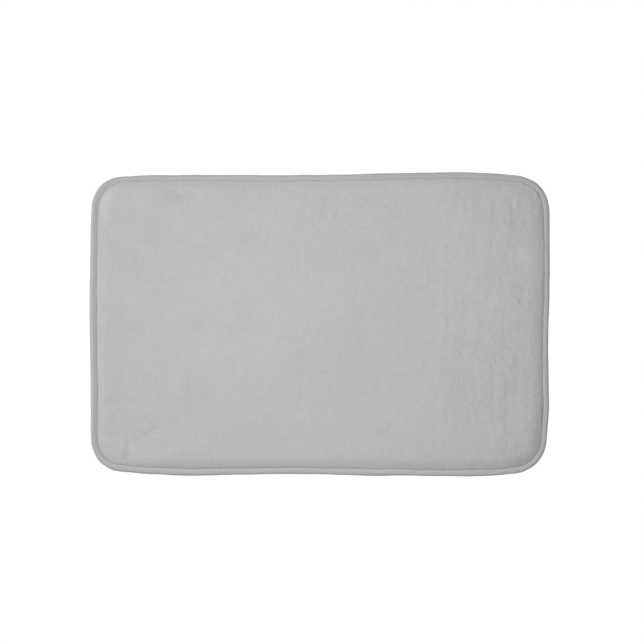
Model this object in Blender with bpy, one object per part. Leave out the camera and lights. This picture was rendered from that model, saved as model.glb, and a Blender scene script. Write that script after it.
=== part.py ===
"""Padded bath mat: plush cover, foam core and grip backing, bound at the edge round a filler cord.

Metres, +Z up. The origin is on the floor under the middle of the mat, and X runs along its length.
The layers and the binding are sections swept round the mat's outline. A section point is
(inset, height), where the inset is measured inwards from the outside of the rim.
"""

import math

import bmesh
import bpy

# Overall size
LENGTH = 0.610
WIDTH = 0.399
CORNER_RADIUS = 0.053
CORNER_STEPS = 12
CROWN_HEIGHT = 0.0150

# Clearance between neighbouring pieces
GAP = 0.0003

# Rim: a binding strip folded round a filler cord, with an upper and a lower leg
BINDING_THICKNESS = 0.0008
BEAD_HALF_WIDTH = 0.0043
BEAD_HALF_HEIGHT = 0.0041
BEAD_CENTRE_HEIGHT = 0.0044
BEAD_QUARTER_STEPS = 4
LEG_END_INSET = 0.0096
UPPER_LEG_TOP = 0.0062
LOWER_LEG_BOTTOM = 0.0011
CORD_BEVEL_RESOLUTION = 6

# Seam through both legs of the binding and the layers between them
SEAM_INSET = 0.0090
THREAD_RADIUS = 0.0003
THREAD_BEVEL_RESOLUTION = 2

# Layers where the seam nips them between the legs
RAW_EDGE_INSET = 0.0087
NIPPED_BACKING = 0.0007
NIPPED_FOAM = 0.0008
NIPPED_COVER = 0.0008

# Layers inside the seam
BACKING_THICKNESS = 0.0013
FOAM_THICKNESS = 0.0094
NIP_END_INSET = 0.0099
FLAT_UNDERSIDE_INSET = 0.0130
FOAM_SHOULDER_START = 0.0112
FOAM_SHOULDER_END = 0.0250
COVER_SHOULDER_END = 0.0265
SHOULDER_STEPS = 8

# Blank care label, in a shallow recess under the backing
LABEL_LENGTH = 0.050
LABEL_WIDTH = 0.024
LABEL_THICKNESS = 0.0003
LABEL_BOTTOM = 0.0002
LABEL_END_INSET = 0.0145
LABEL_CENTRE_Y = -0.120

# Colours, linear RGB
PLUSH_GREY = (0.455, 0.455, 0.455)
RIM_GREY = (0.432, 0.432, 0.444)
FOAM_CREAM = (0.80, 0.77, 0.68)
BACKING_GREY = (0.52, 0.52, 0.52)
CORD_WHITE = (0.75, 0.74, 0.70)
THREAD_GREY = (0.40, 0.40, 0.42)
LABEL_WHITE = (0.85, 0.85, 0.83)


def clear_scene():
    for obj in list(bpy.data.objects):
        bpy.data.objects.remove(obj, do_unlink=True)


def make_collection(name):
    collection = bpy.data.collections.new(name)
    bpy.context.scene.collection.children.link(collection)
    return collection


def make_material(name, colour, roughness):
    material = bpy.data.materials.new(name)
    material.use_nodes = True
    shader = material.node_tree.nodes["Principled BSDF"]
    shader.inputs["Base Color"].default_value = (*colour, 1.0)
    shader.inputs["Roughness"].default_value = roughness
    shader.inputs["Metallic"].default_value = 0.0
    return material


def outline(inset):
    """The mat's rounded rectangle moved inwards by inset, anticlockwise from the +X side."""
    radius = CORNER_RADIUS - inset
    centre_x = LENGTH / 2 - CORNER_RADIUS
    centre_y = WIDTH / 2 - CORNER_RADIUS
    points = []
    for quarter, (side_x, side_y) in enumerate([(1, 1), (-1, 1), (-1, -1), (1, -1)]):
        for step in range(CORNER_STEPS + 1):
            angle = math.pi / 2 * (quarter + step / CORNER_STEPS)
            x = side_x * centre_x + radius * math.cos(angle)
            y = side_y * centre_y + radius * math.sin(angle)
            points.append((x, y))
    return points


def sweep(name, section, closed):
    """A mesh swept from a section: a closed loop, or an open one with flat caps at its ends."""
    bm = bmesh.new()
    rings = []
    for inset, height in section:
        rings.append([bm.verts.new((x, y, height)) for x, y in outline(inset)])
    pairs = list(zip(rings, rings[1:]))
    if closed:
        pairs.append((rings[-1], rings[0]))
    else:
        bm.faces.new(rings[0])
        bm.faces.new(rings[-1])
    for ring, next_ring in pairs:
        for i in range(len(ring)):
            bm.faces.new((ring[i - 1], ring[i], next_ring[i], next_ring[i - 1]))
    bmesh.ops.recalc_face_normals(bm, faces=bm.faces)
    if bm.calc_volume(signed=True) < 0:
        bmesh.ops.reverse_faces(bm, faces=bm.faces)
    mesh = bpy.data.meshes.new(name)
    bm.to_mesh(mesh)
    bm.free()
    return mesh


def add_part(collection, name, data, material):
    data.materials.append(material)
    part = bpy.data.objects.new(name, data)
    collection.objects.link(part)
    return part


def add_swept_part(collection, name, section, material, closed=False):
    mesh = sweep(name, section, closed)
    mesh.shade_smooth()
    mesh.set_sharp_from_angle(angle=math.radians(40))
    return add_part(collection, name, mesh, material)


def add_tube(collection, name, inset, height, radius, bevel_resolution, material):
    """A closed round tube along the outline."""
    curve = bpy.data.curves.new(name, "CURVE")
    curve.dimensions = "3D"
    curve.bevel_depth = radius
    curve.bevel_resolution = bevel_resolution
    points = outline(inset)
    spline = curve.splines.new("POLY")
    spline.points.add(len(points) - 1)
    for point, (x, y) in zip(spline.points, points):
        point.co = (x, y, height, 1.0)
    spline.use_cyclic_u = True
    return add_part(collection, name, curve, material)


def add_box(collection, name, size, centre):
    mesh = bpy.data.meshes.new(name)
    bm = bmesh.new()
    bmesh.ops.create_cube(bm, size=1.0)
    bmesh.ops.scale(bm, vec=size, verts=bm.verts)
    bm.to_mesh(mesh)
    bm.free()
    box = bpy.data.objects.new(name, mesh)
    box.location = centre
    collection.objects.link(box)
    return box


def shoulder(start_inset, end_inset, low, high):
    """Section points of a quarter ellipse, upright at its start and level at its end."""
    points = []
    for step in range(SHOULDER_STEPS + 1):
        angle = math.pi / 2 * step / SHOULDER_STEPS
        inset = start_inset + (end_inset - start_inset) * (1 - math.cos(angle))
        height = low + (high - low) * math.sin(angle)
        points.append((inset, height))
    return points


def bead(half_width, half_height, upper_pinch, lower_pinch):
    """Section points of the rim from its upper pinch, over the outside, to its lower pinch."""
    upper_angle = math.asin((upper_pinch - BEAD_CENTRE_HEIGHT) / half_height)
    lower_angle = 2 * math.pi + math.asin((lower_pinch - BEAD_CENTRE_HEIGHT) / half_height)
    half_steps = 2 * BEAD_QUARTER_STEPS
    angles = [upper_angle + (math.pi - upper_angle) * i / half_steps for i in range(half_steps)]
    angles += [math.pi + (lower_angle - math.pi) * i / half_steps for i in range(half_steps + 1)]
    return [
        (BEAD_HALF_WIDTH + half_width * math.cos(a), BEAD_CENTRE_HEIGHT + half_height * math.sin(a))
        for a in angles
    ]


def backing_top(nipped):
    """Height of the backing's upper face, at the seam or in the body of the mat."""
    if nipped:
        return LOWER_LEG_BOTTOM + BINDING_THICKNESS + GAP + NIPPED_BACKING
    return BACKING_THICKNESS


def foam_top(nipped):
    """Height of the foam's upper face, at the seam or in the body of the mat."""
    return backing_top(nipped) + GAP + (NIPPED_FOAM if nipped else FOAM_THICKNESS)


def make_binding(collection, material):
    upper_inner = UPPER_LEG_TOP - BINDING_THICKNESS
    lower_inner = LOWER_LEG_BOTTOM + BINDING_THICKNESS
    inner_half_width = BEAD_HALF_WIDTH - BINDING_THICKNESS
    inner_half_height = BEAD_HALF_HEIGHT - BINDING_THICKNESS
    outer = bead(BEAD_HALF_WIDTH, BEAD_HALF_HEIGHT, UPPER_LEG_TOP, LOWER_LEG_BOTTOM)
    inner = bead(inner_half_width, inner_half_height, upper_inner, lower_inner)
    section = [(LEG_END_INSET, UPPER_LEG_TOP), *outer, (LEG_END_INSET, LOWER_LEG_BOTTOM)]
    section += [(LEG_END_INSET, lower_inner), *reversed(inner), (LEG_END_INSET, upper_inner)]
    add_swept_part(collection, "edge_binding", section, material, closed=True)


def make_filler_cord(collection, material):
    radius = BEAD_HALF_HEIGHT - BINDING_THICKNESS - GAP
    height = BEAD_CENTRE_HEIGHT
    add_tube(
        collection, "filler_cord", BEAD_HALF_WIDTH, height, radius, CORD_BEVEL_RESOLUTION, material
    )


def make_threads(collection, material):
    clearance = GAP + THREAD_RADIUS
    heights = {
        "needle_thread": UPPER_LEG_TOP + clearance,
        "bobbin_thread": LOWER_LEG_BOTTOM - clearance,
    }
    for name, height in heights.items():
        add_tube(
            collection, name, SEAM_INSET, height, THREAD_RADIUS, THREAD_BEVEL_RESOLUTION, material
        )


def make_backing(collection, cutters, material):
    nipped_top = backing_top(nipped=True)
    nipped_bottom = nipped_top - NIPPED_BACKING
    section = [
        (FLAT_UNDERSIDE_INSET, 0.0),
        (NIP_END_INSET, nipped_bottom),
        (RAW_EDGE_INSET, nipped_bottom),
        (RAW_EDGE_INSET, nipped_top),
        (NIP_END_INSET, nipped_top),
        (FLAT_UNDERSIDE_INSET, BACKING_THICKNESS),
    ]
    backing = add_swept_part(collection, "backing", section, material)
    recess_top = LABEL_BOTTOM + LABEL_THICKNESS + GAP
    size = (LABEL_LENGTH + 2 * GAP, LABEL_WIDTH + 2 * GAP, 2 * recess_top)
    cutter = add_box(cutters, "label_recess", size, (label_centre_x(), LABEL_CENTRE_Y, 0.0))
    cutter.display_type = "WIRE"
    cutter.hide_render = True
    cut = backing.modifiers.new("label_recess", "BOOLEAN")
    cut.object = cutter
    cut.operation = "DIFFERENCE"
    cut.solver = "EXACT"


def label_centre_x():
    return LENGTH / 2 - LABEL_END_INSET - LABEL_LENGTH / 2


def make_care_label(collection, material):
    centre = (label_centre_x(), LABEL_CENTRE_Y, LABEL_BOTTOM + LABEL_THICKNESS / 2)
    size = (LABEL_LENGTH, LABEL_WIDTH, LABEL_THICKNESS)
    label = add_box(collection, "care_label", size, centre)
    label.data.materials.append(material)


def make_foam(collection, material):
    nipped_bottom = backing_top(nipped=True) + GAP
    section = [
        (FLAT_UNDERSIDE_INSET, BACKING_THICKNESS + GAP),
        (NIP_END_INSET, nipped_bottom),
        (RAW_EDGE_INSET, nipped_bottom),
        (RAW_EDGE_INSET, foam_top(nipped=True)),
    ]
    section += shoulder(
        FOAM_SHOULDER_START, FOAM_SHOULDER_END, foam_top(nipped=True), foam_top(nipped=False)
    )
    add_swept_part(collection, "foam_core", section, material)


def make_cover(collection, material):
    nipped_bottom = foam_top(nipped=True) + GAP
    nipped_top = nipped_bottom + NIPPED_COVER
    lining = shoulder(
        FOAM_SHOULDER_START - GAP, FOAM_SHOULDER_END, nipped_bottom, foam_top(nipped=False) + GAP
    )
    section = list(reversed(lining))
    section += [(RAW_EDGE_INSET, nipped_bottom), (RAW_EDGE_INSET, nipped_top)]
    section += shoulder(NIP_END_INSET, COVER_SHOULDER_END, nipped_top, CROWN_HEIGHT)
    add_swept_part(collection, "top_cover", section, material)


def main():
    clear_scene()
    mat = make_collection("bath_mat")
    cutters = make_collection("cutters")
    thread = make_material("thread", THREAD_GREY, 0.6)
    make_cover(mat, make_material("plush", PLUSH_GREY, 0.95))
    make_foam(mat, make_material("foam", FOAM_CREAM, 0.9))
    make_backing(mat, cutters, make_material("grip_backing", BACKING_GREY, 0.8))
    make_binding(mat, make_material("binding", RIM_GREY, 0.85))
    make_filler_cord(mat, make_material("cord", CORD_WHITE, 0.9))
    make_threads(mat, thread)
    make_care_label(mat, make_material("label", LABEL_WHITE, 0.6))


main()
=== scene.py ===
"""Bath mat: the looks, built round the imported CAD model.

Metres, +Z up, in the CAD model's frame. Every layer follows the mat's outline. A place on a section
is an inset, measured inwards from the outside of the rim, and a height. Sides are named as the
camera sees them from above: +X is right and +Y is top.
"""

import math

import bmesh
import bpy
import numpy as np
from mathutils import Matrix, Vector


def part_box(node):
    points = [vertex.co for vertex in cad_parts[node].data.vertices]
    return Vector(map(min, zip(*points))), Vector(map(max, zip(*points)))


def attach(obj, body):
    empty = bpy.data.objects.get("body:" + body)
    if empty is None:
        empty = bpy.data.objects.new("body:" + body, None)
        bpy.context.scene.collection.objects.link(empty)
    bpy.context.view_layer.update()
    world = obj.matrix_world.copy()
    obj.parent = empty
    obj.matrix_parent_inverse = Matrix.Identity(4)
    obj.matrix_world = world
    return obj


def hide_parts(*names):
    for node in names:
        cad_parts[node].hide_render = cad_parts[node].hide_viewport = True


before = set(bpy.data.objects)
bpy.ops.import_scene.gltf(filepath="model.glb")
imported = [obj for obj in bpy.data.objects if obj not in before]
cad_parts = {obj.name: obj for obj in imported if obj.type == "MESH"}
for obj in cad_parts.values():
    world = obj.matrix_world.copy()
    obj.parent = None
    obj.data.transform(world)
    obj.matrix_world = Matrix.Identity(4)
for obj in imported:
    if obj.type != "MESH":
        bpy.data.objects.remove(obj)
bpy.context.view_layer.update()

# Sizes read from the frame
rim_low, rim_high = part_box("edge_binding")
cover_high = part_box("top_cover")[1]
foam_low, foam_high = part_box("foam_core")
backing_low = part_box("backing")[0]
cord_low, cord_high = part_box("filler_cord")
needle_low, needle_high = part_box("needle_thread")
bobbin_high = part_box("bobbin_thread")[1]
label_low, label_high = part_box("care_label")

HALF_LENGTH = rim_high.x
HALF_WIDTH = rim_high.y
CORNER_RADIUS = 0.053
# The centres of the corner arcs, and so the ends of the straight sides
INNER_X = HALF_LENGTH - CORNER_RADIUS
INNER_Y = HALF_WIDTH - CORNER_RADIUS
THREAD_RADIUS = (needle_high.z - needle_low.z) / 2
SEAM_INSET = HALF_LENGTH - needle_high.x + THREAD_RADIUS
RAW_EDGE_INSET = HALF_LENGTH - foam_high.x
GAP = 0.0003
UPPER_LEG_TOP = needle_low.z - GAP
LOWER_LEG_BOTTOM = bobbin_high.z + GAP
CROWN_HEIGHT = cover_high.z
FLOOR_HEIGHT = backing_low.z
CORD_RADIUS = (cord_high.z - cord_low.z) / 2

# Rim
BINDING_THICKNESS = 0.0008
BEAD_HALF_WIDTH = 0.0043
BEAD_INNER_HALF_WIDTH = 0.0050
BEAD_HALF_HEIGHT = (rim_high.z - rim_low.z) / 2
BEAD_CENTRE_HEIGHT = (rim_high.z + rim_low.z) / 2
LEG_END_INSET = 0.0096
STITCH_LENGTH = 0.0032
STEPS_PER_STITCH = 4
# How far each stitch draws the bead in beside the seam, and presses the legs together
STITCH_PULL = 0.00016
STITCH_DIMPLE = 0.00022
# Gathers at the corners, and the slack of the cloth everywhere
GATHER_HEIGHT = 0.00030
DRAPE_HEIGHT = 0.00007
# Along the top and the bottom the inner side is fuller, and on some sides the crest leans outwards
INNER_FILL = 0.0006
CREST_LEAN = 0.0009
CREST_DROP = 0.0008
# The tape's tint factor where no painted light or shade is added. The clumps add 0 to 0.5, and RIM
# is the colour at 0.5
UNPAINTED_TINT = 0.25

# The plush top's edge, from the seam inwards
NIP_END_INSET = 0.0099
NIP_TOP = 0.0051
BULGE_INSET = 0.0087
BULGE_HEIGHT = 0.0076
COVER_BAND = 0.0166
COVER_BAND_STEPS = 18
TUCK_SHARE = 4 / COVER_BAND_STEPS
DOME_DROP = 0.0010
DOME_REACH = 0.085
CREASE_WIDTH = 0.0035

# The layers under it
LINING_START_INSET = 0.0109
LINING_THICKNESS = 0.0008
FOAM_START_INSET = 0.0112
FOAM_END_INSET = 0.0250
UNDERSIDE_FLAT_INSET = 0.0130
CLOTH_THICKNESS = 0.0007
CLOTH_BOTTOM = 0.0006
CLOTH_TOP = 0.0013
CLOTH_NIP_BOTTOM = LOWER_LEG_BOTTOM + BINDING_THICKNESS + GAP
CLOTH_NIP_TOP = CLOTH_NIP_BOTTOM + CLOTH_THICKNESS
FOAM_NIP_BOTTOM = CLOTH_NIP_TOP + GAP
FOAM_NIP_TOP = FOAM_NIP_BOTTOM + 0.0008
LAYER_STEPS = 480

# Colours
PLUSH = (0.4555, 0.4543, 0.4560)
# RIM's slight blue is painted shade colour: it stands in for the bluish light on the rim's shaded
# sides
RIM = (0.432, 0.432, 0.4440)
FOAM = (0.80, 0.77, 0.68)
BACKING = (0.52, 0.52, 0.52)
CORD = (0.75, 0.74, 0.70)
THREAD = (0.40, 0.40, 0.42)
LABEL = (0.85, 0.85, 0.83)
GRIP = (0.62, 0.62, 0.61)
WHITE = (1.0, 1.0, 1.0, 1.0)

SKY_STRENGTH = 0.22
QUARTER_TURN = math.pi / 2
FULL_TURN = 2 * math.pi


# ---------------------------------------------------------------- noise and outline


def noise(u, v, seed, wrap=64):
    """Smooth noise from -1 to 1, one cell per unit, which repeats in u after wrap cells."""
    wrap_v = 256
    lattice = np.random.default_rng(seed).uniform(-1, 1, (wrap, wrap_v))
    low_u, low_v = np.floor(u).astype(int), np.floor(v).astype(int)
    part_u, part_v = u - low_u, v - low_v
    ease_u = part_u * part_u * (3 - 2 * part_u)
    ease_v = part_v * part_v * (3 - 2 * part_v)
    i0, i1 = low_u % wrap, (low_u + 1) % wrap
    j0, j1 = low_v % wrap_v, (low_v + 1) % wrap_v
    near = lattice[i0, j0] * (1 - ease_u) + lattice[i1, j0] * ease_u
    far = lattice[i0, j1] * (1 - ease_u) + lattice[i1, j1] * ease_u
    return near * (1 - ease_v) + far * ease_v


def smooth_step(low, high, value):
    """Eases from 0 at low to 1 at high."""
    part = np.clip((value - low) / (high - low), 0, 1)
    return part * part * (3 - 2 * part)


def swell(position, centre, reach):
    """A bump of height 1 round a centre."""
    return np.exp(-(((position - centre) / reach) ** 2))


# Each corner, by its signs in x and y: how far the end and the side that meet there draw in,
# and how far the corner itself stands out, in metres
CORNERS = {
    (1, 1): (0.0005, 0.0020, 0.0018),
    (-1, 1): (0.0017, 0.0019, 0.0032),
    (-1, -1): (0.0003, 0.0036, 0.0029),
    (1, -1): (0.0022, 0.0032, 0.0015),
}


def corner_shape(x, y):
    """The three measures of the corner nearest to each point."""
    shape = np.zeros((3, *np.shape(x)))
    for (sign_x, sign_y), measures in CORNERS.items():
        here = (np.sign(x) == sign_x) & (np.sign(y) == sign_y)
        shape[:, here] = np.array(measures)[:, None]
    return shape


def side_offsets(x, y, out_x, out_y):
    """How far the sewn outline stands out from the plain rounded rectangle, in metres.

    Each side has slow bends of its own, at places along it in metres from the middle.
    """
    top = -0.0015 + 0.0036 * swell(x, 0.170, 0.105)
    bottom = 0.0002 + 0.0013 * smooth_step(0.020, 0.080, x) - 0.0011 * swell(x, -0.045, 0.035)
    bottom += 0.0011 * swell(x, -0.170, 0.035) + 0.0009 * smooth_step(0.100, 0.150, x)
    right = -0.0013 * (1 - smooth_step(-0.010, 0.055, y)) - 0.0007 * swell(y, -0.035, 0.035)
    right += 0.0011 * swell(y, -0.110, 0.020)
    left = -0.0004 + 0.0009 * swell(y, 0.035, 0.060) - 0.0005 * (1 - smooth_step(-0.080, -0.040, y))
    end_pull, side_pull, corner_push = corner_shape(x, y)
    pull_reach = 0.020
    near_corner = np.exp(-((INNER_X - np.abs(x)) + (INNER_Y - np.abs(y))) / pull_reach)
    offset = (np.where(out_y > 0, top, bottom) - side_pull * near_corner) * out_y**2
    offset += (np.where(out_x > 0, right, left) - end_pull * near_corner) * out_x**2
    turn = np.abs(2 * out_x * out_y)
    offset += corner_push * turn**2
    offset += 0.00035 * turn * noise(np.arctan2(out_y, out_x) * 4.5, turn * 0, 8)
    return offset + 0.00032 * noise(x / 0.024, y / 0.024, 2)


def sway(points):
    """Moves points sideways, so that the outline runs slightly uneven, as a sewn edge does."""
    x, y = points[..., 0], points[..., 1]
    anchor_x, anchor_y = np.clip(x, -INNER_X, INNER_X), np.clip(y, -INNER_Y, INNER_Y)
    reach = np.maximum(np.hypot(x - anchor_x, y - anchor_y), 1e-9)
    out_x, out_y = (x - anchor_x) / reach, (y - anchor_y) / reach
    fade = smooth_step(0, CORNER_RADIUS - RAW_EDGE_INSET, reach)
    offset = fade * side_offsets(anchor_x, anchor_y, out_x, out_y)
    points[..., 0] += offset * out_x
    points[..., 1] += offset * out_y
    return points


def outline(count, inset):
    """Evenly spaced places round the outline at an inset: anchors, outward directions, distances.

    A place at any inset is its anchor plus its outward direction times (CORNER_RADIUS - inset).
    """
    arc = QUARTER_TURN * (CORNER_RADIUS - inset)
    perimeter = 4 * (INNER_X + INNER_Y + arc)
    distance = np.arange(count) * perimeter / count
    anchors = np.zeros((count, 2))
    angles = np.zeros(count)
    start = 0.0
    corners = [(INNER_X, INNER_Y), (-INNER_X, INNER_Y), (-INNER_X, -INNER_Y), (INNER_X, -INNER_Y)]
    for quarter, corner in enumerate(corners):
        previous = np.array(corners[quarter - 1])
        side = float(np.linalg.norm(np.array(corner) - previous))
        on_side = (distance >= start) & (distance < start + side)
        part = ((distance[on_side] - start) / side)[:, None]
        anchors[on_side] = previous * (1 - part) + np.array(corner) * part
        angles[on_side] = quarter * QUARTER_TURN
        start += side
        on_arc = (distance >= start) & (distance < start + arc)
        anchors[on_arc] = corner
        angles[on_arc] = (quarter + (distance[on_arc] - start) / arc) * QUARTER_TURN
        start += arc
    outward = np.stack([np.cos(angles), np.sin(angles)], axis=1)
    return anchors, outward, distance, perimeter


def perimeter_at(inset):
    """The length once round the mat at an inset."""
    return outline(1, inset)[3]


def place(anchors, outward, insets, heights):
    """Points (place, section, xyz) for insets and heights given per section point, or per both."""
    insets = np.broadcast_to(insets, (len(anchors), np.shape(insets)[-1]))
    heights = np.broadcast_to(heights, insets.shape)
    points = np.zeros((*insets.shape, 3))
    points[..., :2] = anchors[:, None] + outward[:, None] * (CORNER_RADIUS - insets)[..., None]
    points[..., 2] = heights
    return points


# ---------------------------------------------------------------- meshes


def grid_faces(rows, columns, wrap_rows, wrap_columns):
    """Vertex numbers of the quads of a grid, and each corner's row and column before wrapping."""
    row, column = np.meshgrid(
        np.arange(rows if wrap_rows else rows - 1),
        np.arange(columns if wrap_columns else columns - 1),
        indexing="ij",
    )
    corner_rows = np.stack([row, row + 1, row + 1, row], axis=-1).reshape(-1, 4)
    corner_columns = np.stack([column, column, column + 1, column + 1], axis=-1).reshape(-1, 4)
    faces = (corner_rows % rows) * columns + corner_columns % columns
    return faces, corner_rows, corner_columns


def border(rows, columns):
    """Vertex numbers in order round the edge of a grid."""
    number = np.arange(rows * columns).reshape(rows, columns)
    sides = [number[:-1, 0], number[-1, :-1], number[:0:-1, -1], number[0, :0:-1]]
    return np.concatenate(sides)


def make_mesh(name, points, faces):
    """A smooth-shaded object with these points and faces."""
    mesh = bpy.data.meshes.new(name)
    mesh.from_pydata(points.reshape(-1, 3), [], faces)
    mesh.shade_smooth()
    piece = bpy.data.objects.new(name, mesh)
    bpy.context.scene.collection.objects.link(piece)
    return piece


def face_outwards(piece):
    """Turns the faces round if the closed mesh is inside out."""
    mesh = piece.data
    mesh.calc_loop_triangles()
    corners = np.empty(len(mesh.loop_triangles) * 3, int)
    mesh.loop_triangles.foreach_get("vertices", corners)
    places = np.empty(len(mesh.vertices) * 3)
    mesh.vertices.foreach_get("co", places)
    a, b, c = places.reshape(-1, 3)[corners].reshape(-1, 3, 3).transpose(1, 0, 2)
    if (a * np.cross(b, c)).sum() < 0:
        mesh.flip_normals()


def set_points(piece, name, values):
    """Stores a value per point, for the material."""
    attribute = piece.data.attributes.new(name, "FLOAT", "POINT")
    attribute.data.foreach_set("value", values.ravel())


def set_run(piece, along, across):
    """Stores where each face corner lies along and across the strip, for the weave."""
    values = np.zeros((along.size, 3))
    values[:, 0], values[:, 1] = along.ravel(), across.ravel()
    attribute = piece.data.attributes.new("run", "FLOAT_VECTOR", "CORNER")
    attribute.data.foreach_set("vector", values.ravel())


def ring_piece(name, points, distance_step, section_run):
    """A closed tube: points (place, section, xyz) wrapped both ways."""
    faces, rows, columns = grid_faces(*points.shape[:2], True, True)
    piece = make_mesh(name, sway(points), faces.tolist())
    run = np.append(section_run, 2 * section_run[-1] - section_run[-2])
    set_run(piece, rows * distance_step, run[columns])
    face_outwards(piece)
    return piece


def layer_piece(name, section):
    """A closed layer: an open section swept round the outline, with a flat face at each end."""
    anchors, outward, _, _ = outline(LAYER_STEPS, SEAM_INSET)
    insets, heights = np.array(section).T
    points = sway(place(anchors, outward, insets, heights))
    faces = grid_faces(*points.shape[:2], True, False)[0].tolist()
    columns = len(section)
    for column in (0, columns - 1):
        faces.append([row * columns + column for row in range(LAYER_STEPS)])
    piece = make_mesh(name, points, faces)
    fix_normals(piece)
    return piece


def fix_normals(piece):
    """Makes the faces of a closed mesh agree, pointing outwards."""
    bm = bmesh.new()
    bm.from_mesh(piece.data)
    bmesh.ops.recalc_face_normals(bm, faces=bm.faces)
    bm.to_mesh(piece.data)
    bm.free()
    face_outwards(piece)


def shoulder(start, end, low, high, steps):
    """Section points of a quarter ellipse, upright at its start and level at its end."""
    angles = np.linspace(0, QUARTER_TURN, steps + 1)
    insets = start + (end - start) * (1 - np.cos(angles))
    heights = low + (high - low) * np.sin(angles)
    return list(zip(insets, heights))


# ---------------------------------------------------------------- materials


class Shader:
    """A material with a Principled shader, and short ways to add nodes to it."""

    def __init__(self, name, colour, roughness):
        self.material = bpy.data.materials.new(name)
        self.material.use_nodes = True
        self.nodes = self.material.node_tree.nodes
        self.links = self.material.node_tree.links
        self.principled = self.nodes["Principled BSDF"]
        self.set(self.principled, "Base Color", (*colour, 1.0))
        self.set(self.principled, "Roughness", roughness)
        self.set(self.principled, "Specular IOR Level", 0.25)

    def set(self, node, socket, value):
        if isinstance(value, bpy.types.NodeSocket):
            self.links.new(value, node.inputs[socket])
        else:
            node.inputs[socket].default_value = value

    def add(self, kind, inputs=(), **settings):
        node = self.nodes.new(kind)
        for name, value in settings.items():
            setattr(node, name, value)
        for socket, value in dict(inputs).items():
            self.set(node, socket, value)
        return node

    def math(self, operation, first, second=0.0):
        node = self.add("ShaderNodeMath", operation=operation)
        self.set(node, 0, first)
        self.set(node, 1, second)
        return node.outputs[0]

    def place(self):
        return self.add("ShaderNodeTexCoord").outputs["Object"]

    def attribute(self, name, output="Fac"):
        return self.add("ShaderNodeAttribute", attribute_name=name).outputs[output]

    def noise(self, vector, size, detail=2.0, roughness=0.5, distortion=0.0):
        """Noise from 0 to 1 with features of about size metres."""
        inputs = {"Vector": vector, "Scale": 1 / size, "Detail": detail, "Roughness": roughness}
        inputs["Distortion"] = distortion
        return self.add("ShaderNodeTexNoise", inputs).outputs["Fac"]

    def tint(self, colour, amount, factor):
        """The colour, lighter or darker by amount as factor runs from 0 to 1."""
        dark = tuple(c * (1 - amount) for c in colour)
        light = tuple(c * (1 + amount) for c in colour)
        ramp = self.add("ShaderNodeMix", data_type="RGBA")
        self.set(ramp, 0, factor)
        self.set(ramp, 6, (*dark, 1.0))
        self.set(ramp, 7, (*light, 1.0))
        return ramp.outputs[2]

    def bump(self, height, distance, strength=1.0, normal=None):
        node = self.add("ShaderNodeBump", {"Height": height, "Distance": distance})
        self.set(node, "Strength", strength)
        if normal is not None:
            self.set(node, "Normal", normal)
        return node.outputs["Normal"]

    def use(self, socket, value):
        self.set(self.principled, socket, value)


def plush_material():
    """Short plush: crinkled clumps, tufts and fibres, on top of the pile's tone and the painted
    light and shade stored per point.
    """
    shader = Shader("plush", PLUSH, 1.0)
    place_xyz = shader.place()
    crinkles = shader.noise(place_xyz, 0.0060, 4.0, 0.65, 0.5)
    tufts = shader.noise(place_xyz, 0.0024, 3.0, 0.6)
    fibres = shader.noise(place_xyz, 0.0007, 1.0)
    # The point attribute carries the pile's tone and marks and the painted light and shade patches
    pile_tone_and_painted_light = shader.math("MULTIPLY", shader.attribute("pile_tone_and_painted_light"), 0.32)
    mixed = shader.math("ADD", shader.math("SUBTRACT", pile_tone_and_painted_light, 0.35), crinkles)
    mixed = shader.math("ADD", mixed, shader.math("MULTIPLY", tufts, 0.7))
    shader.use("Base Color", shader.tint(PLUSH, 0.09, mixed))
    normal = shader.bump(crinkles, 0.0010, 0.7)
    normal = shader.bump(tufts, 0.0007, 0.7, normal)
    shader.use("Normal", shader.bump(fibres, 0.0003, 0.5, normal))
    shader.use("Sheen Weight", 0.25)
    shader.use("Sheen Roughness", 0.45)
    shader.use("Specular IOR Level", 0.1)
    return shader.material


def binding_material():
    """A brushed tape: a short nap over a fine twill that runs along the strip, with painted light
    and shade in its colour.
    """
    shader = Shader("binding", RIM, 0.95)
    run = shader.attribute("run", "Vector")
    twill = shader.add(
        "ShaderNodeTexWave",
        {"Vector": run, "Scale": 260.0, "Distortion": 0.6, "Detail": 1.0},
        wave_type="BANDS",
        bands_direction="DIAGONAL",
    ).outputs["Fac"]
    clumps = shader.noise(run, 0.0035, 3.0, 0.6)
    fibres = shader.noise(run, 0.0009, 2.0)
    height = shader.math("ADD", shader.math("MULTIPLY", twill, 0.35), fibres)
    # The tint factor: random clumps plus the painted light and shade stored per point
    tint_with_painted_light = shader.math("ADD", shader.math("MULTIPLY", clumps, 0.5), shader.attribute("tint_with_painted_light"))
    shader.use("Base Color", shader.tint(RIM, 0.14, tint_with_painted_light))
    normal = shader.bump(clumps, 0.0006, 0.3)
    shader.use("Normal", shader.bump(height, 0.0003, 0.45, normal))
    shader.use("Sheen Weight", 0.06)
    shader.use("Sheen Roughness", 0.45)
    shader.use("Specular IOR Level", 0.1)
    return shader.material


def plain_material(name, colour, roughness, grain, depth, amount):
    """A material with a fine grain in its colour and relief."""
    shader = Shader(name, colour, roughness)
    place_xyz = shader.place()
    speckle = shader.noise(place_xyz, grain, 3.0, 0.6)
    shader.use("Base Color", shader.tint(colour, amount, speckle))
    shader.use("Normal", shader.bump(speckle, depth, 0.5))
    return shader.material


# ---------------------------------------------------------------- pieces


def finish_piece(piece, material, node):
    """Gives a piece its material, and the place of a CAD node."""
    piece.data.materials.append(material)
    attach(piece, "root")
    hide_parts(node)


def stitch_count():
    """Stitches all round the seam."""
    return round(perimeter_at(SEAM_INSET) / STITCH_LENGTH)


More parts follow.
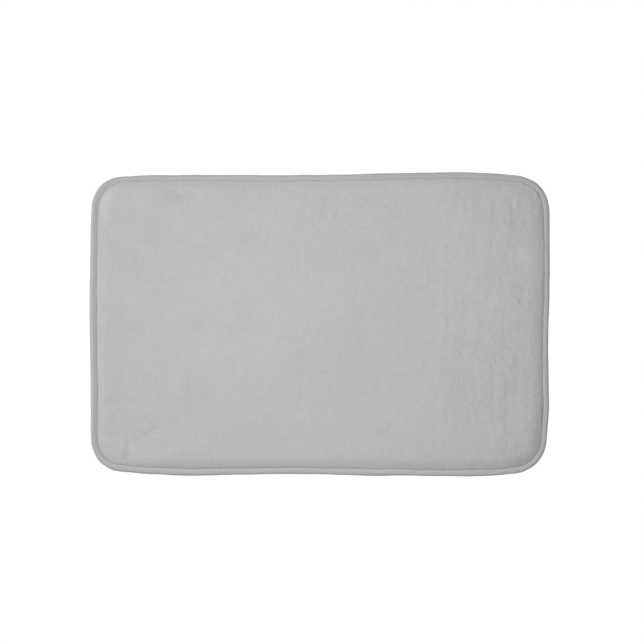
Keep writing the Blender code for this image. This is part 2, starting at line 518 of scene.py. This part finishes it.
def bead_section(half_width, half_height, inner_half_width, upper_pinch, lower_pinch, steps):
    """Angles, insets and heights of the bead from its upper pinch, over it, to its lower pinch.

    The bead is an ellipse, fuller on its upper inner side, where the strip comes down to the seam.
    An angle of 0 is its inner side, and a quarter turn its crest.
    """
    upper = math.asin((upper_pinch - BEAD_CENTRE_HEIGHT) / half_height)
    lower = FULL_TURN + math.asin((lower_pinch - BEAD_CENTRE_HEIGHT) / half_height)
    angles = np.linspace(upper, lower, steps + 1)
    across, up = np.cos(angles), np.sin(angles)
    fullness = 0.75
    full = inner_half_width * np.abs(across) ** fullness
    insets = BEAD_HALF_WIDTH + np.where(angles < QUARTER_TURN, full, half_width * across)
    return angles, insets, BEAD_CENTRE_HEIGHT + half_height * up


def upper_right(out_x, out_y):
    """How nearly an outward direction points to the upper right: 1 in the middle of that corner."""
    return 2 * np.maximum(out_x, 0) * np.maximum(out_y, 0)


def rim_fullness(x, out_x, out_y):
    """How much further in than usual the rim's inner side reaches, in metres."""
    lower = 0.0003 + 0.0005 * smooth_step(0.100, 0.200, np.abs(x))
    return lower * np.maximum(-out_y, 0) ** 2 + 0.0012 * upper_right(out_x, out_y)


def tape_painted_light(x, outward, angles):
    """Painted light and shade on the tape: lighter on the crest's inner side at the right end and
    darker there at the left end, darker on the crest along the top, lighter beside the groove along
    the top, and darker round the outside except at the left end.
    """
    right, left = np.maximum(outward[:, :1], 0), np.maximum(-outward[:, :1], 0)
    top = np.maximum(outward[:, 1:], 0)
    tint_with_painted_light = (0.38 * right - 0.16 * left - 0.70 * right * top) * swell(angles, 1.15, 0.55)
    tint_with_painted_light = tint_with_painted_light - (0.12 + 0.16 * smooth_step(-0.15, 0.15, x)) * top * swell(angles, 1.6, 0.4)
    tint_with_painted_light += (0.25 * top + 0.80 * right * top) * swell(angles, 0.95, 0.25)
    return tint_with_painted_light - 0.6 * (1 - left**2) * swell(angles, 2.65, 0.45)


def tape_relief(angles, outward, share, pull):
    """How far the tape stands out at each place and section angle, in metres.

    share is how far round the mat each place is, and pull the stitches' pull on it.
    """
    stitches = stitch_count()
    level = np.zeros(len(share))
    lumps = 0.00022 * noise(share * 48, level, 3, 48) + 0.0001 * noise(share * 120, level, 4, 120)
    bend = np.abs(outward[:, 0] * outward[:, 1]) * 2
    gathers = bend * noise(share * stitches * 0.75, level, 6, stitches * 3 // 4)
    along, around = np.meshgrid(share * stitches / 3, angles * 2.2, indexing="ij")
    drape = noise(along, around, 7, stitches // 3 + 1)
    near_seam = swell(angles, angles[0], 0.75) + swell(angles, angles[-1], 0.75)
    over_top = swell(angles, QUARTER_TURN, 0.9)
    relief = lumps[:, None] - STITCH_PULL * pull[:, None] * near_seam
    relief += GATHER_HEIGHT * gathers[:, None] * (near_seam + 0.5 * over_top)
    return relief + DRAPE_HEIGHT * drape


def shape_sides(points, anchors, outward, angles):
    """Fills the rim's inner side and leans its crest, by different amounts on each side."""
    out_x, out_y = outward[:, :1], outward[:, 1:]
    fuller = INNER_FILL * np.abs(out_y) + rim_fullness(anchors[:, :1], out_x, out_y)
    leaning = np.maximum(-out_x, -0.5 * out_x) + np.maximum(out_y, 0)
    shift = CREST_LEAN * leaning * swell(angles, 1.5, 0.5) - fuller * swell(angles, 0.75, 0.45)
    points[..., :2] += outward[:, None] * shift[..., None]
    points[..., 2] -= CREST_DROP * leaning * swell(angles, 1.0, 0.35)
    points[..., 2] = np.maximum(points[..., 2], FLOOR_HEIGHT)


def make_binding():
    """The binding strip: a round bead, pulled in at each stitch, with small gathers at corners."""
    stitches = stitch_count()
    count = stitches * STEPS_PER_STITCH
    anchors, outward, distance, perimeter = outline(count, SEAM_INSET)
    angles, outer_inset, outer_height = bead_section(
        BEAD_HALF_WIDTH,
        BEAD_HALF_HEIGHT,
        BEAD_INNER_HALF_WIDTH,
        UPPER_LEG_TOP,
        LOWER_LEG_BOTTOM,
        steps=24,
    )
    half_width = BEAD_HALF_WIDTH - BINDING_THICKNESS
    half_height = BEAD_HALF_HEIGHT - BINDING_THICKNESS
    upper_inner = UPPER_LEG_TOP - BINDING_THICKNESS
    lower_inner = LOWER_LEG_BOTTOM + BINDING_THICKNESS
    _, inner_inset, inner_height = bead_section(
        half_width, half_height, half_width, upper_inner, lower_inner, steps=7
    )

    share = distance / perimeter
    stitch = share * stitches
    pull = np.cos(FULL_TURN * stitch) * (0.8 + 0.4 * noise(stitch, stitch * 0, 5, stitches))
    outer_points = place(anchors, outward, outer_inset, outer_height)
    radial = np.zeros((count, len(angles), 3))
    radial[..., :2] = -outward[:, None] * np.cos(angles)[None, :, None]
    radial[..., 2] = np.sin(angles)
    outer_points += radial * tape_relief(angles, outward, share, pull)[..., None]
    shape_sides(outer_points, anchors, outward, angles)

    dimple = STITCH_DIMPLE * (1 + pull[:, None]) / 2
    leg_insets = np.array([LEG_END_INSET, SEAM_INSET])
    upper_leg = place(anchors, outward, leg_insets, UPPER_LEG_TOP - dimple)
    lower_leg = place(anchors, outward, leg_insets[::-1], LOWER_LEG_BOTTOM + dimple)
    inner_insets = np.concatenate([[LEG_END_INSET], inner_inset[::-1], [LEG_END_INSET]])
    inner_heights = np.concatenate([[lower_inner], inner_height[::-1], [upper_inner]])
    inner_points = place(anchors, outward, inner_insets, inner_heights)
    points = np.concatenate([upper_leg, outer_points, lower_leg, inner_points], axis=1)
    steps = np.linalg.norm(np.diff(points[0], axis=0), axis=1)
    section_run = np.concatenate([[0], np.cumsum(steps)])
    piece = ring_piece("edge_binding_fabric", points, perimeter / count, section_run)
    # Painted light and shade on the tape's outer surface, stored per point for the material's tint
    tint_with_painted_light = np.full(points.shape[:2], UNPAINTED_TINT)
    outer = slice(len(leg_insets), len(leg_insets) + len(angles))
    tint_with_painted_light[:, outer] += tape_painted_light(anchors[:, :1], outward, angles)
    set_points(piece, "tint_with_painted_light", tint_with_painted_light)
    finish_piece(piece, binding_material(), "edge_binding")


def make_cord():
    """Three strands twisted together, inside the rim."""
    lay_length = 0.018
    strands = 3
    turns = round(perimeter_at(BEAD_HALF_WIDTH) / lay_length)
    count = turns * 10
    anchors, outward, distance, perimeter = outline(count, BEAD_HALF_WIDTH)
    around = np.linspace(0, FULL_TURN, 24, endpoint=False)
    twist = distance / perimeter * turns * FULL_TURN / strands
    lobes = np.abs(np.cos(strands / 2 * (around[None] + twist[:, None])))
    radius = CORD_RADIUS * (0.78 + 0.22 * lobes**0.6)
    insets = BEAD_HALF_WIDTH + radius * np.cos(around)
    heights = BEAD_CENTRE_HEIGHT + radius * np.sin(around)
    points = place(anchors, outward, insets, heights)
    piece = ring_piece("filler_cord_strands", points, perimeter / count, around * CORD_RADIUS)
    material = plain_material("cord", CORD, 0.9, 0.0006, 0.0003, 0.08)
    finish_piece(piece, material, "filler_cord")


def make_thread(name, side, node, material):
    """Lockstitches: a thread that lies along the leg and dips into a hole at each stitch's end."""
    stitches = stitch_count()
    steps_per_stitch = 10
    hole_depth = 0.0011
    count = stitches * steps_per_stitch
    anchors, outward, distance, perimeter = outline(count, SEAM_INSET)
    stitch = distance / perimeter * stitches
    part = stitch - np.floor(stitch)
    dip = swell(np.minimum(part, 1 - part), 0, 0.10)
    leg = UPPER_LEG_TOP if side > 0 else LOWER_LEG_BOTTOM
    centre_heights = leg + side * (THREAD_RADIUS * 0.9 - hole_depth * dip)
    around = np.linspace(0, FULL_TURN, 8, endpoint=False)
    wander = 0.00008 * noise(stitch, stitch * 0, 11 + side, stitches)
    insets = SEAM_INSET + wander[:, None] + THREAD_RADIUS * np.cos(around)[None]
    heights = centre_heights[:, None] + THREAD_RADIUS * np.sin(around)[None]
    points = place(anchors, outward, insets, heights)
    piece = ring_piece(name, points, perimeter / count, around * THREAD_RADIUS)
    finish_piece(piece, material, node)


# Creases and places where the pile lies differently, and broad patches of painted light and shade
# along the pad's edges and at its corners: x, y, half width, half length, turn in degrees, and
# shade. The creases, which are narrow, are pressed in or stand out as well.
NAP_MARKS_AND_PAINTED_LIGHT = [
    (-0.193, 0.170, 0.010, 0.004, 0, -1.8),
    (-0.199, 0.168, 0.016, 0.012, 0, -0.9),
    (-0.252, 0.171, 0.004, 0.005, 0, -0.7),
    (0.004, 0.152, 0.0030, 0.016, -10, -1.0),
    (0.010, 0.150, 0.012, 0.022, 0, -0.3),
    (0.020, 0.144, 0.003, 0.009, -15, -0.8),
    (0.013, 0.140, 0.003, 0.007, 10, 0.8),
    (0.097, 0.113, 0.0024, 0.016, -60, -0.6),
    (-0.166, -0.006, 0.012, 0.009, 0, -0.7),
    (-0.175, -0.085, 0.005, 0.028, 0, -0.6),
    (-0.027, -0.086, 0.003, 0.030, 0, -0.6),
    (-0.020, -0.039, 0.018, 0.0028, 0, -0.5),
    (0.158, -0.020, 0.0036, 0.110, 0, 0.5),
    (0.166, 0.010, 0.0036, 0.090, 0, -0.35),
    (0.183, -0.055, 0.010, 0.050, 0, -0.4),
    (0.230, 0.151, 0.0024, 0.028, 0, -0.9),
    (0.250, 0.087, 0.0020, 0.024, 0, -0.8),
    (0.256, 0.047, 0.005, 0.010, 0, -0.7),
    (0.228, -0.002, 0.0022, 0.012, 0, -0.6),
    (0.228, -0.086, 0.0022, 0.034, 0, -0.7),
    (0.246, -0.103, 0.0026, 0.048, 0, -0.8),
    (0.237, -0.090, 0.0022, 0.020, 0, 0.7),
    (0.260, 0.159, 0.003, 0.015, 0, 0.7),
    (0.086, -0.139, 0.0028, 0.011, -32, -1.4),
    (0.104, -0.135, 0.0030, 0.011, -28, 0.6),
    (0.062, -0.130, 0.0026, 0.009, -30, -0.6),
    (-0.223, -0.139, 0.0036, 0.010, -60, -2.0),
    (-0.241, -0.146, 0.0050, 0.012, -75, -0.7),
    (-0.222, -0.148, 0.0040, 0.012, -63, 0.6),
    (-0.2585, -0.1745, 0.0050, 0.008, 0, -3.2),
    # Painted light along the pad's lower left edge
    (-0.262, -0.184, 0.030, 0.008, 0, 2.2),
    # Painted highlight on the upper right corner, and painted light along the right end
    (0.286, 0.173, 0.009, 0.014, 35, 1.5),
    (0.287, 0.090, 0.010, 0.055, 0, 0.8),
    # Painted shade along the lower right edge
    (0.262, -0.184, 0.020, 0.008, 0, -1.2),
    (-0.256, -0.161, 0.0030, 0.008, -15, -1.4),
    (-0.248, -0.165, 0.006, 0.009, 10, 0.6),
    (-0.207, -0.160, 0.0026, 0.008, -60, -0.8),
    # Painted light over the pad's lower left
    (-0.218, -0.166, 0.055, 0.016, 0, 0.9),
    # Painted shade along the lower right edge and the lower right end
    (0.262, -0.168, 0.024, 0.018, 0, -0.8),
    (0.289, -0.140, 0.008, 0.035, 0, -1.5),
    # Painted light along the upper left edge, and a painted highlight by the upper left corner
    (-0.250, 0.166, 0.045, 0.016, 0, 0.6),
    (-0.284, 0.164, 0.008, 0.022, 0, 1.2),
    (-0.279, -0.008, 0.003, 0.008, 0, -0.8),
    (-0.246, 0.087, 0.005, 0.010, 0, -0.6),
    (-0.272, -0.099, 0.010, 0.004, 20, -0.6),
    (-0.276, -0.125, 0.009, 0.004, 25, -0.6),
]


def nap_marks_and_painted_light(x, y, widest=1.0):
    """The shade of the marks and of the painted light and shade patches at each point, leaving out
    those wider than widest.
    """
    shade = np.zeros(np.shape(x))
    wobble = 0.0024
    shift_x = wobble * noise(x / 0.013, y / 0.015, 27)
    shift_y = wobble * noise(x / 0.013, y / 0.013, 28)
    x, y = x + shift_x, y + shift_y
    for mark_x, mark_y, half_width, half_length, turn, strength in NAP_MARKS_AND_PAINTED_LIGHT:
        if min(half_width, half_length) > widest:
            continue
        angle = math.radians(turn)
        across = (x - mark_x) * math.cos(angle) + (y - mark_y) * math.sin(angle)
        along = (y - mark_y) * math.cos(angle) - (x - mark_x) * math.sin(angle)
        shade += strength * np.exp(-((across / half_width) ** 2) - (along / half_length) ** 2)
    return shade


def nap_roughness(x, y):
    """How rough the pile lies, from about 0 to 1: calm left of the middle, rough to the right."""
    rough = 0.40 + 0.70 * smooth_step(0.0, 0.25, x) + 0.45 * swell(x, -0.26, 0.06)
    return np.clip(rough + 0.20 * noise(x / 0.075, y / 0.060, 25), 0, 1.2)


def nap_tone_and_painted_light(x, y):
    """How light or dark the pile is, from about -1 to 1: random tone and marks, with the patches of
    painted light and shade.
    """
    shade = 0.22 * noise(x / 0.055, y / 0.045, 20) + 0.18 * noise(x / 0.024, y / 0.028, 21)
    tufts = 0.20 * noise(x / 0.0075, y / 0.0085, 22, 256)
    tufts += 0.20 * noise(x / 0.0038, y / 0.0044, 23, 512)
    streaks = 0.26 * noise(x / 0.0060, y / 0.030, 24, 256)
    streaks += 0.26 * noise(x / 0.0036, y / 0.012, 26, 256)
    shade += nap_roughness(x, y) * (tufts + streaks * smooth_step(-0.05, 0.18, x))
    return shade + nap_marks_and_painted_light(x, y)


def pad_steps(half, step):
    """Grid lines across the pad: even inside, and closing up towards its edges."""
    band = COVER_BAND * (1 - np.cos(np.linspace(0, QUARTER_TURN, COVER_BAND_STEPS + 1)))
    inside = np.linspace(0, half - COVER_BAND, round((half - COVER_BAND) / step) + 1)
    positive = np.concatenate([inside[1:], half - band[-2::-1]])
    return np.concatenate([-positive[::-1], [0.0], positive])


def round_corners(x, y, radius, half_x, half_y):
    """Maps the square blocks in the corners of a rectangle onto quarter discs."""
    over_x, over_y = np.abs(x) - (half_x - radius), np.abs(y) - (half_y - radius)
    corner = (over_x > 0) & (over_y > 0)
    reach = np.maximum(over_x, over_y)
    with np.errstate(divide="ignore", invalid="ignore"):
        angle = np.where(
            over_x >= over_y,
            QUARTER_TURN / 2 * over_y / over_x,
            QUARTER_TURN - QUARTER_TURN / 2 * over_x / over_y,
        )
    angle = np.where(corner, angle, 0.0)
    new_x = np.sign(x) * (half_x - radius + reach * np.cos(angle))
    new_y = np.sign(y) * (half_y - radius + reach * np.sin(angle))
    return np.where(corner, new_x, x), np.where(corner, new_y, y)


def inset_of(x, y):
    """How far inside the rim's outline a point is."""
    over_x, over_y = np.abs(x) - INNER_X, np.abs(y) - INNER_Y
    outside = np.hypot(np.maximum(over_x, 0), np.maximum(over_y, 0))
    return CORNER_RADIUS - outside - np.minimum(np.maximum(over_x, over_y), 0)


def grid_normals(points):
    """Unit normals of a grid of points."""
    across, along = np.gradient(points, axis=0), np.gradient(points, axis=1)
    normals = np.cross(across, along)
    return normals / np.linalg.norm(normals, axis=-1, keepdims=True)


def groove_gap(x, y, out_x, out_y):
    """How much further than usual the pad's edge stands back from the rim, in metres."""
    gap = 0.0012 * np.maximum(out_x, 0) * (1 - smooth_step(-0.130, -0.050, y))
    gap += 0.0030 * np.maximum(-out_x, 0) ** 2 * np.maximum(out_y, 0)
    gap -= 0.0003 * np.maximum(out_y, 0) * (1 - smooth_step(-0.200, -0.100, x))
    gap -= (0.0004 + 0.0003 * smooth_step(0.050, 0.150, x)) * np.maximum(-out_y, 0)
    gap += rim_fullness(x, out_x, out_y)
    return gap + 0.0004 * noise(x / 0.021, y / 0.021, 29, 256)


def cover_section(inset, out_x, out_y, gap):
    """Shapes the pad's edge: it tucks in under itself at the seam and rolls over into the crown.

    Takes insets on the flat grid, and returns where those points go: their insets and heights.
    """
    step = np.arccos(1 - np.clip((inset - NIP_END_INSET) / COVER_BAND, 0, 1)) / QUARTER_TURN
    tuck = np.clip(step / TUCK_SHARE, 0, 1) * QUARTER_TURN
    roll = np.clip((step - TUCK_SHARE) / (1 - TUCK_SHARE), 0, 1) * QUARTER_TURN
    # On the right and at the top the edge reaches further out, and leans on the rim
    bulge_inset = BULGE_INSET - 0.0009 * out_x - 0.0004 * out_x**2
    bulge_inset += gap - 0.0010 * np.maximum(out_y, 0)
    band_end = NIP_END_INSET + COVER_BAND
    new_inset = NIP_END_INSET - (NIP_END_INSET - bulge_inset) * (1 - np.cos(tuck)) ** 1.5
    new_inset += (band_end - bulge_inset) * (1 - np.cos(roll))
    new_inset += np.maximum(inset - band_end, 0)
    roll_width = 0.0180 + 0.0045 * out_x**2 + 0.0020 * out_x
    reach = np.clip((new_inset - bulge_inset) / roll_width, 0, 1)
    # The ends rise more steeply at first than the sides, and the upper right corner least so
    corner = upper_right(out_x, out_y)
    bulge_height = BULGE_HEIGHT + 0.0017 * corner
    height = NIP_TOP + (bulge_height - NIP_TOP) * np.sin(tuck)
    shoulder_power = 2.2
    edge_power = 0.85 - 0.33 * out_x**2 + 0.34 * corner
    rise = (1 - (1 - reach) ** shoulder_power) ** edge_power * (roll > 0)
    height += (CROWN_HEIGHT - bulge_height) * rise
    # The crown goes on rising slowly for a long way in
    dome = DOME_DROP * (1 - smooth_step(COVER_BAND / 2, DOME_REACH, inset))
    flatter = np.clip(np.maximum(out_x, -out_y), 0, 1)
    dome -= DOME_DROP / 2 * flatter * (1 - smooth_step(COVER_BAND / 2, 0.050, inset))
    height -= dome * smooth_step(0, 0.6, rise)
    return new_inset, height


def pile_relief(x, y):
    """How far the plush stands out or in: ripples of the whole cloth, tufts, and creases."""
    ripple = 0.00012 * noise(x / 0.060, y / 0.075, 31) + 0.00006 * noise(x / 0.017, y / 0.021, 32)
    pile = 0.00012 * noise(x / 0.0052, y / 0.0060, 33, 256)
    pile += 0.00010 * noise(x / 0.0034, y / 0.0040, 34, 256)
    pile += 0.00012 * smooth_step(0.0, 0.2, x) * noise(x / 0.0038, y / 0.015, 36, 256)
    pile += 0.00006 * np.random.default_rng(35).uniform(-1, 1, x.shape)
    pile *= 0.6 + 0.8 * nap_roughness(x, y)
    return ripple + pile + 0.00035 * nap_marks_and_painted_light(x, y, CREASE_WIDTH)


def add_lining(points, faces):
    """Closes the plush underneath, from its outer edge in to the foam. Returns all the points."""
    rows, columns = points.shape[:2]
    flat = points.reshape(-1, 3)
    loop = border(rows, columns)
    edge = flat[loop][:, :2]
    inner = np.array([INNER_X, INNER_Y])
    anchors = np.clip(edge, -inner, inner)
    outward = (edge - anchors) / np.linalg.norm(edge - anchors, axis=1, keepdims=True)
    lining_low = NIP_TOP - LINING_THICKNESS
    lining_high = foam_high.z + GAP
    section = [(RAW_EDGE_INSET, NIP_TOP), (RAW_EDGE_INSET, lining_low)]
    section += shoulder(LINING_START_INSET, FOAM_END_INSET, lining_low, lining_high, 5)
    insets, heights = np.array(section).T
    lining = place(anchors, outward, insets, heights)
    count, depth = lining.shape[:2]
    ring = np.arange(count * depth).reshape(count, depth) + rows * columns
    ring = np.concatenate([loop[:, None], ring], axis=1)
    after = np.roll(ring, -1, axis=0)
    walls = np.stack([ring[:, :-1], ring[:, 1:], after[:, 1:], after[:, :-1]], axis=-1)
    faces += walls.reshape(-1, 4).tolist()
    faces.append(ring[:, -1].tolist())
    return np.concatenate([flat, lining.reshape(-1, 3)])


def make_cover():
    """The plush top: a crowned pad with a fine uneven pile, closed by its lining underneath."""
    half_x, half_y = HALF_LENGTH - NIP_END_INSET, HALF_WIDTH - NIP_END_INSET
    grid_step = 0.00175
    pile_fade = 0.0015
    x, y = np.meshgrid(pad_steps(half_x, grid_step), pad_steps(half_y, grid_step), indexing="ij")
    x, y = round_corners(x, y, CORNER_RADIUS - NIP_END_INSET, half_x, half_y)
    inset = inset_of(x, y)
    anchor_x, anchor_y = np.clip(x, -INNER_X, INNER_X), np.clip(y, -INNER_Y, INNER_Y)
    reach = np.maximum(np.hypot(x - anchor_x, y - anchor_y), 1e-9)
    out_x, out_y = (x - anchor_x) / reach, (y - anchor_y) / reach
    gap = groove_gap(anchor_x, anchor_y, out_x, out_y)
    new_inset, height = cover_section(inset, out_x, out_y, gap)
    x = x + out_x * (inset - new_inset)
    y = y + out_y * (inset - new_inset)
    points = np.stack([x, y, height], axis=-1)
    fade = smooth_step(0, pile_fade, inset - NIP_END_INSET)
    points += grid_normals(points) * (pile_relief(x, y) * fade)[..., None]

    faces = grid_faces(*x.shape, False, False)[0].tolist()
    every = add_lining(points, faces)
    # The pile's tone, with the painted light and shade patches, stored per point for the material
    shade = nap_tone_and_painted_light(every[:, 0], every[:, 1])
    piece = make_mesh("plush_top", sway(every), faces)
    set_points(piece, "pile_tone_and_painted_light", shade)
    fix_normals(piece)
    finish_piece(piece, plush_material(), "top_cover")


def make_foam():
    """The foam slab, thin where the seam nips it."""
    section = [
        (UNDERSIDE_FLAT_INSET, foam_low.z),
        (NIP_END_INSET, FOAM_NIP_BOTTOM),
        (RAW_EDGE_INSET, FOAM_NIP_BOTTOM),
        (RAW_EDGE_INSET, FOAM_NIP_TOP),
    ]
    section += shoulder(FOAM_START_INSET, FOAM_END_INSET, FOAM_NIP_TOP, foam_high.z, 8)
    piece = layer_piece("foam_slab", section)
    material = plain_material("foam", FOAM, 0.9, 0.0009, 0.0004, 0.10)
    finish_piece(piece, material, "foam_core")


def make_backing():
    """The backing cloth, which lies on its grip dots and rises to the seam."""
    section = [
        (UNDERSIDE_FLAT_INSET, CLOTH_BOTTOM),
        (NIP_END_INSET, CLOTH_NIP_BOTTOM),
        (RAW_EDGE_INSET, CLOTH_NIP_BOTTOM),
        (RAW_EDGE_INSET, CLOTH_NIP_TOP),
        (NIP_END_INSET, CLOTH_NIP_TOP),
        (UNDERSIDE_FLAT_INSET, CLOTH_TOP),
    ]
    piece = layer_piece("backing_cloth", section)
    material = plain_material("backing", BACKING, 0.9, 0.0007, 0.0002, 0.10)
    finish_piece(piece, material, "backing")


def dot_shape():
    """One grip dot: its points, and its faces as point numbers."""
    radii_and_heights = [(0.00160, CLOTH_BOTTOM + 0.0001), (0.00150, 0.00025), (0.00095, 0.0)]
    sides = 10
    turns = np.linspace(0, FULL_TURN, sides, endpoint=False)
    rings = [
        np.stack([radius * np.cos(turns), radius * np.sin(turns), np.full(sides, height)], axis=1)
        for radius, height in radii_and_heights
    ]
    faces = [list(range(sides)), list(range(3 * sides - 1, 2 * sides - 1, -1))]
    for ring in (0, 1):
        for side in range(sides):
            after = (side + 1) % sides
            lower, upper = ring * sides, (ring + 1) * sides
            faces.append([lower + after, lower + side, upper + side, upper + after])
    return np.concatenate(rings), faces


def under_label(x, y):
    """Whether a dot here would touch the label."""
    clearance = 0.002
    beside_x = label_low.x - clearance < x < label_high.x + clearance
    return beside_x and label_low.y - clearance < y < label_high.y + clearance


def make_grip_dots():
    """Rubbery dots printed on the underside, in staggered rows."""
    pitch = 0.010
    row_pitch = pitch * math.sqrt(3) / 2
    margin = UNDERSIDE_FLAT_INSET + 0.0035
    dot, dot_faces = dot_shape()
    points, faces = [], []
    rows = int(HALF_WIDTH / row_pitch)
    columns = int(HALF_LENGTH / pitch)
    for row in range(-rows, rows + 1):
        for column in range(-columns, columns + 1):
            x, y = (column + 0.5 * (row % 2)) * pitch, row * row_pitch
            if inset_of(x, y) < margin or under_label(x, y):
                continue
            first = len(points) * len(dot)
            points.append(dot + np.array([x, y, 0.0]))
            faces += [[first + corner for corner in face] for face in dot_faces]
    piece = make_mesh("grip_dots", sway(np.concatenate(points)), faces)
    face_outwards(piece)
    material = plain_material("grip_dots", GRIP, 0.55, 0.0012, 0.0001, 0.05)
    finish_piece(piece, material, "backing")


def make_label():
    """A blank woven label, lying slightly wavy under the backing."""
    x = np.linspace(label_low.x, label_high.x, 26)
    y = np.linspace(label_low.y, label_high.y, 13)
    grid_x, grid_y = np.meshgrid(x, y, indexing="ij")
    thickness = 0.00018
    lift = (label_high.z - label_low.z - thickness) / 2
    wave = lift * (1 + noise(grid_x / 0.011, grid_y / 0.016, 41)) * 0.9
    bottom = np.stack([grid_x, grid_y, label_low.z + wave], axis=-1)
    top = bottom + np.array([0, 0, thickness])
    rows, columns = grid_x.shape
    faces = grid_faces(rows, columns, False, False)[0]
    loop = border(rows, columns)
    after = np.roll(loop, -1)
    walls = np.stack([loop, loop + rows * columns, after + rows * columns, after], axis=-1)
    every = np.concatenate([bottom.reshape(-1, 3), top.reshape(-1, 3)])
    every_face = np.concatenate([faces, faces[:, ::-1] + rows * columns, walls])
    piece = make_mesh("blank_label", every, every_face.tolist())
    fix_normals(piece)
    material = plain_material("label", LABEL, 0.5, 0.0004, 0.0001, 0.03)
    finish_piece(piece, material, "care_label")


# ---------------------------------------------------------------- stage, light and camera


def make_floor():
    """A white floor, for the stage only: it glows, so it shows no shadow."""
    bpy.ops.mesh.primitive_plane_add(size=12.0, location=(0, 0, FLOOR_HEIGHT))
    floor = bpy.context.object
    floor.name = "floor"
    shader = Shader("floor", (0.03, 0.03, 0.03), 0.9)
    shader.use("Emission Color", WHITE)
    shader.use("Emission Strength", 1.0)
    shader.use("Specular IOR Level", 0.0)
    floor.data.materials.append(shader.material)


def add_area_light(name, place, target, size, power):
    """A round lamp that shines from one point at another."""
    light = bpy.data.lights.new(name, "AREA")
    light.shape = "DISK"
    light.size = size
    light.energy = power
    lamp = bpy.data.objects.new(name, light)
    lamp.location = place
    direction = Vector(target) - Vector(place)
    lamp.rotation_euler = direction.to_track_quat("-Z", "Y").to_euler()
    bpy.context.scene.collection.objects.link(lamp)


def make_world():
    """A dim even sky, white near the horizon, where it stands behind the floor."""
    world = bpy.data.worlds.new("studio")
    world.use_nodes = True
    nodes, links = world.node_tree.nodes, world.node_tree.links
    direction = nodes.new("ShaderNodeTexCoord")
    parts = nodes.new("ShaderNodeSeparateXYZ")
    strength = nodes.new("ShaderNodeMapRange")
    horizon, above_horizon = 0.085, 0.11
    strength.inputs["From Min"].default_value = horizon
    strength.inputs["From Max"].default_value = above_horizon
    strength.inputs["To Min"].default_value = 1.0
    strength.inputs["To Max"].default_value = SKY_STRENGTH
    links.new(direction.outputs["Generated"], parts.inputs[0])
    links.new(parts.outputs["Z"], strength.inputs["Value"])
    links.new(strength.outputs["Result"], nodes["Background"].inputs["Strength"])
    nodes["Background"].inputs["Color"].default_value = WHITE
    bpy.context.scene.world = world


def make_light():
    """A soft light overhead, a weak one over the left end, and a window low to the left."""
    bpy.context.scene.view_settings.view_transform = "Standard"
    make_world()
    add_area_light("overhead", (0.0, 0.0, 1.1), (0.0, 0.0, 0.0), 0.4, 7.6)
    add_area_light("near", (-0.3, 0.15, 0.8), (-0.3, 0.15, 0.0), 0.4, 1.1)
    add_area_light("window", (-4.31, 1.40, 2.11), (0.0, 0.0, 0.0), 1.6, 90.0)


def make_camera():
    """Straight above the mat, with a long lens."""
    lens, sensor, view_width = 135.0, 36.0, 0.8546
    off_centre = 0.0029
    camera = bpy.data.cameras.new("camera")
    camera.lens = lens
    camera.sensor_width = sensor
    eye = bpy.data.objects.new("camera", camera)
    height = view_width * lens / sensor + BEAD_CENTRE_HEIGHT
    eye.location = (off_centre, off_centre, height)
    bpy.context.scene.collection.objects.link(eye)
    bpy.context.scene.camera = eye


make_camera()
make_light()
make_floor()
make_cover()
make_foam()
make_grip_dots()
make_backing()
make_binding()
make_cord()
thread_material = plain_material("thread", THREAD, 0.6, 0.0004, 0.0001, 0.08)
make_thread("needle_stitches", 1, "needle_thread", thread_material)
make_thread("bobbin_stitches", -1, "bobbin_thread", thread_material)
make_label()
